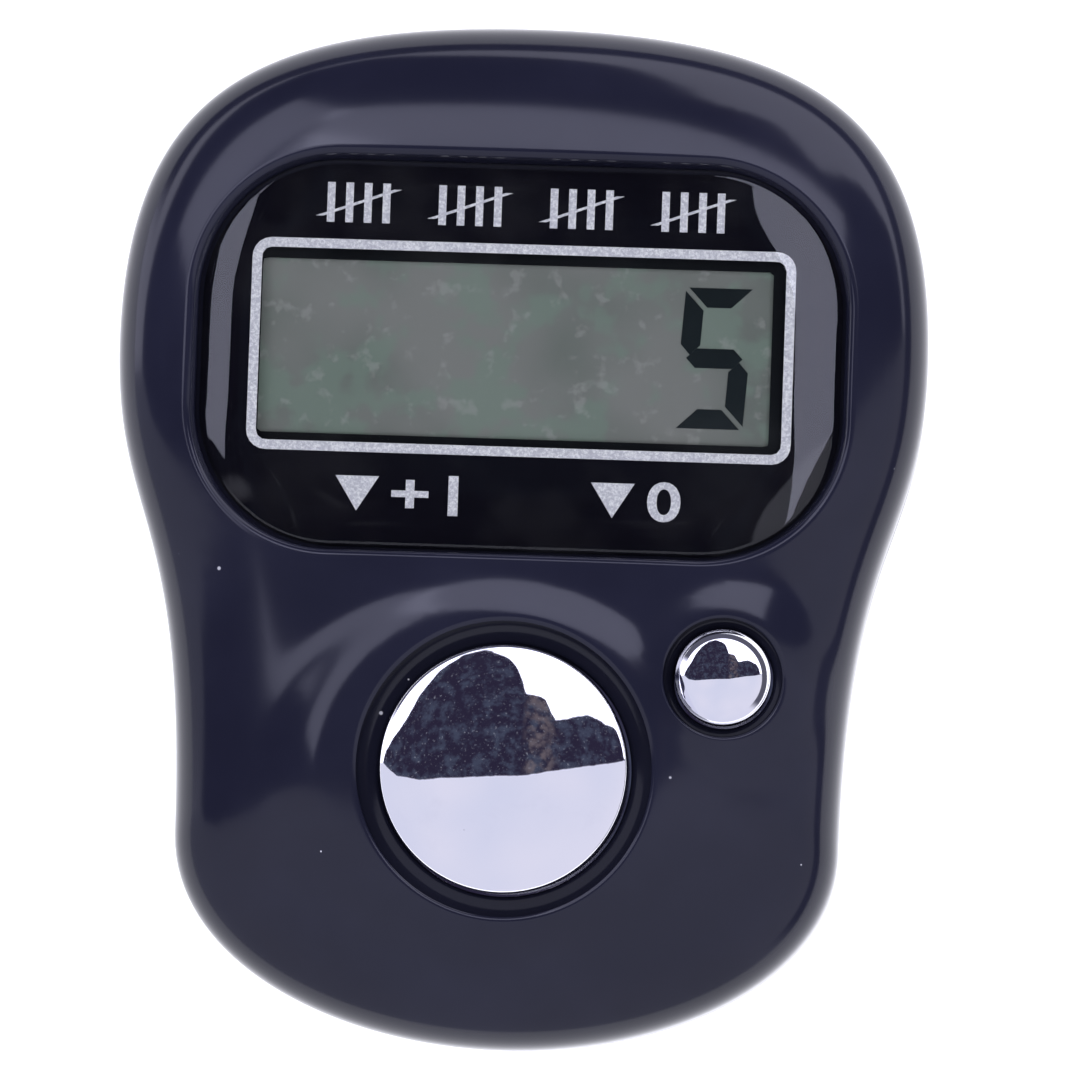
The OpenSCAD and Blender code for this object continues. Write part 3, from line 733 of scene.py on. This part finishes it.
# Wraps a socket, so that sums and products of sockets and numbers add Math nodes.
class Value:
    def __init__(self, finish, socket):
        self.finish, self.socket = finish, socket

    def sum(self, operation, *others, first=None):
        values = [self if first is None else first, *others]
        return self.finish.add("ShaderNodeMath", {"operation": operation}, dict(enumerate(values)))

    def __add__(self, other):
        return self.sum("ADD", other)

    __radd__ = __add__

    def __sub__(self, other):
        return self.sum("SUBTRACT", other)

    def __rsub__(self, other):
        return self.sum("SUBTRACT", self, first=other)

    def __mul__(self, other):
        return self.sum("MULTIPLY", other)

    __rmul__ = __mul__

    def __truediv__(self, other):
        return self.sum("DIVIDE", other)

    # 0 below edge, 1 above edge + soft, smooth between.
    def above(self, edge, soft):
        return self.finish.add("ShaderNodeMapRange", {"interpolation_type": "SMOOTHSTEP"},
                               {"Value": self, "From Min": edge, "From Max": edge + soft})

    # A curve through (at, value) pairs; at is this value between low and high.
    def profile(self, low, high, steps):
        share = self.finish.add("ShaderNodeMapRange", {}, {"Value": self, "From Min": low, "From Max": high})
        stops = [((at - low) / (high - low), (value, value, value, 1)) for at, value in steps]
        return self.finish.add("ShaderNodeValToRGB", {"stops": stops}, {"Fac": share})


# A node tree, where one method adds every node but the shader.
class Graph:
    def __init__(self, tree, coordinates):
        self.tree = tree
        self.place = self.add("ShaderNodeTexCoord", {}, {}, coordinates)

    def add(self, kind, settings, sockets, out=0):
        node = self.tree.nodes.new(kind)
        for key, value in settings.items():
            if key == "stops":
                ramp = node.color_ramp.elements
                while len(ramp) < len(value):
                    ramp.new(0.5)
                for stop, (at, tint) in zip(ramp, value):
                    stop.position, stop.color = at, tint
            else:
                setattr(node, key, value)
        for key, value in sockets.items():
            if isinstance(value, Value):
                self.tree.links.new(value.socket, node.inputs[key])
            else:
                node.inputs[key].default_value = value
        return Value(self, node.outputs[out])

    # Noise at so many lumps a metre, stretched along the axes if asked.
    def noise(self, scale, detail=3, rough=0.6, stretch=None):
        where = self.place
        if stretch:
            factors, turn = stretch
            where = self.add("ShaderNodeMapping", {}, {"Vector": where, "Rotation": turn, "Scale": factors})
        return self.add("ShaderNodeTexNoise", {},
                        {"Vector": where, "Scale": scale, "Detail": detail, "Roughness": rough})

    # Random points and a random number for each; slim draws the points out to strokes.
    def cells(self, scale, turn, slim):
        where = self.place
        if slim < 1:
            where = self.add("ShaderNodeMapping", {},
                             {"Vector": where, "Rotation": (0, 0, turn), "Scale": (1, slim, 1)})
        sockets = {"Vector": where, "Scale": scale}
        near = self.add("ShaderNodeTexVoronoi", {}, sockets, "Distance")
        shade = self.add("ShaderNodeTexVoronoi", {}, sockets, "Color")
        return near, self.add("ShaderNodeSeparateColor", {}, {0: shade})

    # Dust or hairline strokes: the hearts of a share of the cells.
    def specks(self, scale, share, size=0.03, turn=0.0, slim=1):
        near, pick = self.cells(scale, turn, slim)
        return (1 - near.above(size, size)) * pick.above(1 - share, 0.005)

    # Fine strokes, mostly one way, with a few across them.
    def scratches(self, scale, turn, share):
        along = self.specks(scale, share, 0.02, turn, 0.05)
        return along + self.specks(scale * 0.8, share * 0.6, 0.02, turn + 0.7, 0.07)

    def mix(self, share, a, b):
        return self.add("ShaderNodeMix", {"data_type": "RGBA"}, {0: share, 6: a, 7: b}, 2)

    def bump(self, height, strength, depth):
        return self.add("ShaderNodeBump", {}, {"Height": height, "Strength": strength, "Distance": depth})


# One material: a graph that feeds a Principled shader; fixed values go on its sockets.
class Finish(Graph):
    def __init__(self, name, **fixed):
        self.material = bpy.data.materials.new(name)
        self.material.use_nodes = True
        super().__init__(self.material.node_tree, "Object")
        self.shader = self.tree.nodes["Principled BSDF"]
        for key, value in fixed.items():
            self.shader.inputs[key.replace("_", " ")].default_value = value

    def feed(self, **links):
        for key, value in links.items():
            self.tree.links.new(value.socket, self.shader.inputs[key.replace("_", " ")])
        return self.material


def colour(r, g, b):
    return (r, g, b, 1.0)


# Gloss moulding: deep colour, faint cloudiness, slow sink waves, dust and hairlines.
def moulded(name, base, dust, gloss, waviness=0.25):
    f = Finish(name, Specular_IOR_Level=0.34)
    cloud = f.noise(160, 3)
    dustHere = f.specks(620, dust) + f.specks(1300, dust * 0.7)
    marks = f.scratches(420, 0.6, 0.12)
    tint = f.mix(cloud.above(0.3, 0.5), colour(*base), colour(*[v * 1.25 + 0.001 for v in base]))
    tint = f.mix(marks.sum("MINIMUM", 1.0) * 0.10, tint, colour(0.3, 0.3, 0.36))
    tint = f.mix(dustHere * 0.8, tint, colour(0.62, 0.62, 0.68))
    rough = gloss + f.noise(420, 4) * 0.05 + marks * 0.12 + dustHere * 0.4
    height = f.noise(90, 1) * waviness + f.noise(2600, 2) * 0.006
    return f.feed(Base_Color=tint, Roughness=rough, Normal=f.bump(height, 0.25, 0.0004))


# Chrome: nearly flawless, a little haze from handling and a few fine pits.
def plated(name):
    f = Finish(name, Metallic=1.0)
    haze = f.noise(500, 4).above(0.55, 0.25)
    pits = f.specks(1500, 0.05)
    tint = f.mix(haze * 0.35, colour(0.90, 0.90, 0.95), colour(0.80, 0.80, 0.87))
    tint = f.mix(pits * 0.5, tint, colour(0.35, 0.35, 0.4))
    rough = 0.035 + haze * 0.03 + pits * 0.25
    return f.feed(Base_Color=tint, Roughness=rough, Normal=f.bump(f.noise(350, 2), 0.05, 0.0002))


# Screen-printed ink: speckled by the mesh it was pressed through.
def grainy(name, light, dark, rough=0.6, scale=9000):
    f = Finish(name, Specular_IOR_Level=0.0)
    grain = f.noise(scale, 3, 0.7)
    worn = f.noise(scale * 0.2, 3)
    tint = f.mix(grain.above(0.38, 0.3), colour(*dark), colour(*light))
    return f.feed(Base_Color=tint, Roughness=rough + worn * 0.2,
                  Normal=f.bump(grain, 0.4, 0.00003))


def silicone(name):
    f = Finish(name, Sheen_Weight=0.08, Sheen_Roughness=0.4, Specular_IOR_Level=0.35)
    cloud = f.noise(300, 4)
    lint = f.scratches(500, 0.3, 0.2)
    tint = f.mix(cloud.above(0.35, 0.4), colour(0.010, 0.010, 0.012), colour(0.018, 0.018, 0.021))
    tint = f.mix(lint * 0.25, tint, colour(0.2, 0.2, 0.22))
    height = f.bump(f.noise(7000, 3), 0.25, 0.00004)
    return f.feed(Base_Color=tint, Roughness=0.5 + cloud * 0.14, Normal=height)


# Clear lens: what lies below shows through, under a polished reflection.
def clearAcrylic(name):
    f = Finish(name)
    f.tree.nodes.remove(f.shader)
    marks = f.scratches(500, 0.9, 0.2) + f.specks(700, 0.05)
    see = f.add("ShaderNodeBsdfTransparent", {}, {"Color": colour(0.97, 0.98, 0.98)})
    shine = f.add("ShaderNodeBsdfGlossy", {}, {"Color": colour(1, 1, 1), "Roughness": 0.03 + marks * 0.1})
    share = f.add("ShaderNodeFresnel", {}, {"IOR": 1.49})
    both = f.add("ShaderNodeMixShader", {}, {0: share, 1: see, 2: shine})
    f.tree.links.new(both.socket, f.tree.nodes["Material Output"].inputs["Surface"])
    return f.material


# The lens's underside and edge, which lie against the print and mirror nothing.
def clearInside(name):
    f = Finish(name, Specular_IOR_Level=0.0, Roughness=0.5)
    see = f.add("ShaderNodeBsdfTransparent", {}, {"Color": colour(0.99, 0.99, 0.99)})
    haze = f.noise(300, 2).above(0.45, 0.3) * 0.006
    both = f.add("ShaderNodeMixShader", {}, {0: haze, 1: see, 2: Value(f, f.shader.outputs[0])})
    f.tree.links.new(both.socket, f.tree.nodes["Material Output"].inputs["Surface"])
    return f.material


# The display's face: grey with slow green and warm drifts, dust and fine scratches.
def filmFinish(name, light, dark, rough=0.35):
    f = Finish(name, Specular_IOR_Level=0.0)
    drift = f.noise(130, 2)
    cloud = f.noise(420, 3)
    tint = f.mix(drift.above(0.35, 0.3), colour(*dark), colour(*light))
    green = colour(light[0] * 0.86, light[1] * 1.14, light[2] * 0.98)
    tint = f.mix(cloud.above(0.48, 0.12) * 0.6, tint, green)
    tint = f.mix(f.noise(1100, 3).above(0.56, 0.14) * 0.4, tint, colour(*[v * 1.6 for v in light]))
    marks = f.scratches(330, 0.9, 0.35) + f.scratches(500, -0.5, 0.25) + f.specks(900, 0.12)
    tint = f.mix(marks.sum("MINIMUM", 1.0) * 0.4, tint, colour(0.6, 0.63, 0.6))
    return f.feed(Base_Color=tint, Roughness=rough + cloud * 0.1, Normal=f.bump(cloud, 0.05, 0.00005))


# Inner pieces: two shades by a fine noise, uneven gloss and a little grain.
def plainFinish(name, light, dark, rough, scale=1500, metal=0.0, grain=0.1, stretch=None):
    f = Finish(name, Metallic=metal)
    cloud = f.noise(scale, 4, 0.6, stretch)
    tint = f.mix(cloud.above(0.35, 0.3), colour(*dark), colour(*light))
    return f.feed(Base_Color=tint, Roughness=rough + cloud * 0.15, Normal=f.bump(cloud, grain, 0.00005))


def lampBlack(name, base, rough):
    f = Finish(name, Specular_IOR_Level=0.0)
    cloud = f.noise(900, 3)
    tint = f.mix(cloud, colour(*base), colour(*[v * 1.5 for v in base]))
    return f.feed(Base_Color=tint, Roughness=rough + cloud * 0.1)


finishes = {
    "front": moulded("navy_gloss", (0.0085, 0.0090, 0.0185), 0.035, 0.10),
    "rear": moulded("black_gloss", (0.008, 0.008, 0.011), 0.03, 0.12),
    "chrome": plated("bright_chrome"),
    "ink": grainy("silver_ink", (0.88, 0.88, 0.94), (0.55, 0.55, 0.64)),
    "mask": lampBlack("lens_mask_black", (0.0035, 0.0035, 0.006), 0.35),
    "lens": clearAcrylic("clear_acrylic"),
    "lensInside": clearInside("clear_acrylic_inside"),
    "film": filmFinish("display_film", (0.215, 0.222, 0.220), (0.152, 0.172, 0.162)),
    "digit": lampBlack("digit_dark", (0.010, 0.014, 0.016), 0.4),
    # near-black of the display's edge plate: the LCD's dark surround, and painted shade along the display's
    # top and right
    "bezelAndShade": lampBlack("bezel_and_shade_dark", (0.006, 0.007, 0.008), 0.5),
    "band": silicone("black_silicone"),
    "keyRubber": plainFinish("key_rubber_finish", (0.72, 0.70, 0.66), (0.6, 0.58, 0.54), 0.6),
}

innerFinishes = [                           # nodes, light shade, dark shade, roughness
    (("lens_adhesive",), (0.75, 0.75, 0.74), (0.6, 0.6, 0.6), 0.7),
    (("lcd_front_glass", "lcd_rear_glass"), (0.40, 0.46, 0.44), (0.34, 0.40, 0.38), 0.05),
    (("lcd_reflector",), (0.5, 0.52, 0.51), (0.42, 0.44, 0.43), 0.4),
    (("lcd_frame",), (0.78, 0.78, 0.76), (0.68, 0.68, 0.66), 0.5),
    (("zebra_connector",), (0.72, 0.38, 0.45), (0.5, 0.22, 0.3), 0.6),
    (("circuit_board",), (0.02, 0.17, 0.08), (0.014, 0.11, 0.055), 0.35),
    (("chip_potting",), (0.012, 0.012, 0.012), (0.006, 0.006, 0.006), 0.25),
    (("board_capacitors",), (0.5, 0.37, 0.24), (0.4, 0.28, 0.17), 0.5),
    (("board_resistors",), (0.03, 0.03, 0.03), (0.015, 0.015, 0.015), 0.4),
    (("count_contact_pill", "reset_contact_pill"), (0.02, 0.02, 0.02), (0.012, 0.012, 0.012), 0.7),
    (("cell_gasket",), (0.05, 0.2, 0.1), (0.03, 0.13, 0.06), 0.5),
]
metalFinishes = [
    (("cell_can",), (0.72, 0.71, 0.68), (0.55, 0.54, 0.52), 0.22),
    (("cell_cap",), (0.70, 0.68, 0.63), (0.52, 0.50, 0.47), 0.25),
    (("battery_spring", "battery_side_contact"), (0.80, 0.62, 0.32), (0.62, 0.46, 0.22), 0.25),
    (("case_screws", "board_screws"), (0.62, 0.62, 0.64), (0.42, 0.42, 0.45), 0.28),
]
brushed = (600, 1.0, 0.15, ((1, 0.05, 1), (0, 0, 0.3)))   # scale, metal, grain and stretch of the metals


def wear(piece, finish):
    piece.data.materials.clear()
    piece.data.materials.append(finish)
    return piece


# Gives a design node its finish through its own material slots.
def finishNode(name, finish):
    slots = nodes[name].material_slots
    if not slots:
        nodes[name].data.materials.append(finish)
    for slot in slots:
        slot.material = finish


for table, more in ((innerFinishes, ()), (metalFinishes, brushed)):
    for group, light, dark, rough in table:
        for name in group:
            finishNode(name, plainFinish(name + "_finish", light, dark, rough, *more))
finishNode("lcd_front_polarizer", finishes["film"])
print("finishes made")


wear(place(makeFrontShell(), "case", "case_front", "front_shell"), finishes["front"])
print("front shell made")
wear(place(makeRearShell(), "case", "case_rear", "rear_shell"), finishes["rear"])
wear(place(makeBatteryDoor(), "battery_door", "door", "battery_door"), finishes["rear"])
print("rear shell and door made")
for shape in buttonShapes:
    wear(makeButton(shape), finishes["chrome"])
for dome in keyDomes:
    wear(makeKeyDome(dome), finishes["keyRubber"])
wear(place(makeBand(), "case", "band", "finger_band"), finishes["band"])
place(makeLens(), "case", "lens", "display_lens")

maskZ = lensLow.z
inkZ = maskZ + printShape["thick"]
p = printShape


# A rounded rectangle that lies inset within the printed border's outer edge.
def borderLoop(inset, corner):
    wide, long = p["frameWide"] - 2 * inset, p["frameLong"] - 2 * inset
    return roundedLoop(wide, long, corner, (0, p["frameY"]), 240)[0]


mask = flatPlate("lens_mask", lensRows(p["maskEdge"]), borderLoop(p["maskIn"], p["corner"]), maskZ, inkZ)
wear(place(mask, "case", "lens"), finishes["mask"])
inside = borderLoop(p["line"], p["corner"] - p["line"])
border = flatPlate("printed_border", borderLoop(0, p["corner"]), inside, inkZ, inkZ + p["lineThick"])
for piece in [border, *(printedNumber(*number, inkZ) for number in p["numbers"]),
              makeStrokes(inkZ), makePointers(inkZ)]:
    wear(place(piece, "case", "lens"), finishes["ink"])

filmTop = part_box("lcd_front_polarizer")[1].z / mm
wear(place(makeDigit(filmTop), "case", "polarizer"), finishes["digit"])
d = displayShape
# A near-black plate over the film's edges whose opening leaves the grey face: partly the LCD's dark surround,
# partly painted shade for the dark strips along the display's top and right.
x0, x1, y0, y1 = d["bezelAndShade"]
opening = roundedLoop(x1 - x0, y1 - y0, d["openCorner"], ((x0 + x1) / 2, (y0 + y1) / 2), 240)[0]
outer = roundedLoop(*d["bezelSize"], (0, d["bezelY"]), 240)[0]
bezelAndShade = flatPlate("display_bezel_and_shade_plate", outer, opening, filmTop + d["bezelLow"], filmTop + d["bezelTop"])
wear(place(bezelAndShade, "case", "polarizer"), finishes["bezelAndShade"])
print("lens, print and display made")


view = {"right": 2.5, "below": 4.0, "turn": 2.0, "distance": 0.3, "across": 0.0419,
        "aim": (0.62, 0.26, 25.2)}       # the point of the object at the picture's middle


# Above the face, a few degrees to its right and foot, the object a little clockwise.
def makeCamera():
    v = view
    data = bpy.data.cameras.new("camera")
    data.sensor_width = 36
    data.lens = 36 * v["distance"] / v["across"]
    data.clip_start = 0.01
    camera = bpy.data.objects.new("camera", data)
    bpy.context.scene.collection.objects.link(camera)
    aim = Vector(v["aim"]) * mm
    back = Vector((math.tan(math.radians(v["right"])), -math.tan(math.radians(v["below"])), 1)).normalized()
    camera.location = aim + back * v["distance"]
    up = Vector((-math.sin(math.radians(v["turn"])), math.cos(math.radians(v["turn"])), 0))
    across = up.cross(back).normalized()
    up = back.cross(across)
    facing = Matrix((across, up, back)).transposed().to_4x4()
    camera.matrix_world = Matrix.Translation(camera.location) @ facing
    bpy.context.scene.camera = camera


studio = {
    "white": (2.2, 2.2, 2.7), "rim": 0.83,   # past this half-angle tangent the room is dark again
    # a dark shape overhead, as (across, up) in half-angle tangents: its skyline and its foot
    "skyline": [(-0.82, 0.05), (-0.78, 0.13), (-0.63, 0.31), (-0.56, 0.47), (-0.45, 0.64), (-0.32, 0.76),
                (-0.18, 0.80), (-0.04, 0.73), (0.03, 0.65), (0.07, 0.53), (0.09, 0.44), (0.20, 0.42),
                (0.26, 0.29), (0.33, 0.32), (0.46, 0.36), (0.56, 0.34), (0.66, 0.32), (0.73, 0.24),
                (0.77, 0.13)],
    "foot": [(-0.82, 0.04), (-0.67, -0.05), (-0.49, -0.07), (-0.34, -0.06), (-0.24, -0.05), (-0.09, -0.04),
             (0.09, -0.03), (0.25, 0.0), (0.40, 0.03), (0.60, 0.06), (0.77, 0.10)],
    "far": 0.35,
    # soft boxes: compass angle from +X, angle from overhead, wide and high and turned, all in
    # degrees, brightness, and the pieces that mirror it
    "boxes": [
        ("case_left_box", 138, 46, 34, 16, 0, 2.3, ("front_shell_moulding", "rear_shell_moulding")),
        ("case_top_box", 74, 29, 52, 14, 0, 2.7, ("front_shell_moulding", "rear_shell_moulding")),
        ("case_corner_box", 146, 30, 32, 12, 0, 2.3, ("front_shell_moulding",)),
        ("lens_left_box", 148, 36, 40, 14, 10, 2.8, ("display_lens_clear",)),
        ("lens_right_box", 34, 26, 34, 26, 0, 2.8, ("display_lens_clear",)),
    ],
    "boxTint": (0.95, 0.96, 1.25), "fill": 5.2, "fillHeight": 0.8, "floorGlow": 0.5,
    "floorR": 600, "floorZ": -0.02,
}


# An area light that faces the object and is mirrored only by the pieces named in lit.
def softBox(name, compass, down, wide, high, turned, bright, lit):
    far = studio["far"]
    c, d = math.radians(compass), math.radians(down)
    way = Vector((math.sin(d) * math.cos(c), math.sin(d) * math.sin(c), math.cos(d)))
    data = bpy.data.lights.new(name, "AREA")
    data.shape, data.color = "RECTANGLE", studio["boxTint"]
    data.size, data.size_y = (2 * far * math.tan(math.radians(angle / 2)) for angle in (wide, high))
    data.energy = bright * math.pi * data.size * data.size_y
    lamp = bpy.data.objects.new(name, data)
    bpy.context.scene.collection.objects.link(lamp)
    across = Vector((-math.sin(c), math.cos(c), 0))
    facing = Matrix((across, way.cross(across), way)).transposed().to_4x4()
    roll = Matrix.Rotation(math.radians(turned), 4, "Z")
    lamp.matrix_world = Matrix.Translation(Vector((0, 0, 0.03)) + way * far) @ facing @ roll
    lamp.visible_camera = False
    lamp.light_linking.receiver_collection = bpy.data.collections.new(name + "_lights")
    for piece in lit:
        lamp.light_linking.receiver_collection.objects.link(bpy.data.objects[piece])


# A wide light overhead that brightens print and floor but is mirrored by nothing.
def makeFill():
    data = bpy.data.lights.new("fill", "AREA")
    data.shape, data.size, data.energy = "DISK", 0.9, studio["fill"]
    lamp = bpy.data.objects.new("fill", data)
    bpy.context.scene.collection.objects.link(lamp)
    lamp.location = (0.05, -0.05, studio["fillHeight"])
    lamp.visible_camera = lamp.visible_glossy = False


# The room that the chrome mirrors: lavender below the foot line, a dark lumpy shape between foot and
# skyline, and white beyond. Across and up are the direction's x and y over 1 + z, which is the tangent
# of half the angle from overhead.
def makeSky():
    world = bpy.data.worlds.new("studio")
    world.use_nodes = True
    g = Graph(world.node_tree, "Generated")
    x, y, z = (g.add("ShaderNodeSeparateXYZ", {}, {0: g.place}, i) for i in range(3))
    across, up = x / (1 + z), y / (1 + z)
    ragged = (g.noise(14, 4, 0.5) - 0.5) * 0.035
    under = (across.profile(-1, 1, studio["skyline"]) - up + ragged).above(0, 0.012)
    over = (up - across.profile(-1, 1, [(a, b + 0.5) for a, b in studio["foot"]]) + 0.5
            + ragged * 0.3).above(0, 0.012)
    grain = g.noise(9, 6, 0.65)
    glint = g.noise(46, 3, 0.5).above(0.62, 0.12)
    dark = g.mix(grain.above(0.45, 0.2), colour(0.024, 0.020, 0.044), colour(0.055, 0.064, 0.105))
    mottle = g.noise(12, 5, 0.5).above(0.38, 0.3)
    brown = across.above(0.07, 0.05) * (1 - across.above(0.20, 0.10)) * mottle
    dark = g.mix(brown * 0.75, dark, colour(0.17, 0.14, 0.155))
    dark = g.mix(glint * 0.5, dark, colour(0.4, 0.42, 0.5))
    soft = g.noise(1.5, 1, 0.5)
    low = g.mix(soft, colour(0.66, 0.69, 0.86), colour(0.82, 0.80, 0.92))
    tint = g.mix(over, low, colour(*studio["white"]))
    tint = g.mix(over * under, tint, dark)
    edge = (across * across + up * up).above(studio["rim"] ** 2, 0.03) * (up + across * 0.6).above(-0.3, 0.3)
    tint = g.mix(edge, tint, colour(0.10, 0.10, 0.14))
    g.tree.links.new(tint.socket, g.tree.nodes["Background"].inputs["Color"])
    bpy.context.scene.world = world


def makeStudio():
    bpy.context.scene.view_settings.view_transform = "Standard"
    makeSky()
    build = Build()
    build.cap(row(circleLoop(studio["floorR"], (0, 0), 64), studio["floorZ"]))
    floor = build.make("floor", 30)
    finish = Finish("floor_white", Emission_Color=colour(1, 1, 1), Emission_Strength=studio["floorGlow"])
    grain = finish.noise(60, 3)
    tint = finish.mix(grain, colour(0.93, 0.93, 0.95), colour(0.96, 0.96, 0.98))
    wear(floor, finish.feed(Base_Color=tint, Roughness=0.55 + grain * 0.1))
    for box in studio["boxes"]:
        softBox(*box)
    makeFill()


makeCamera()
makeStudio()
print("camera and studio made")
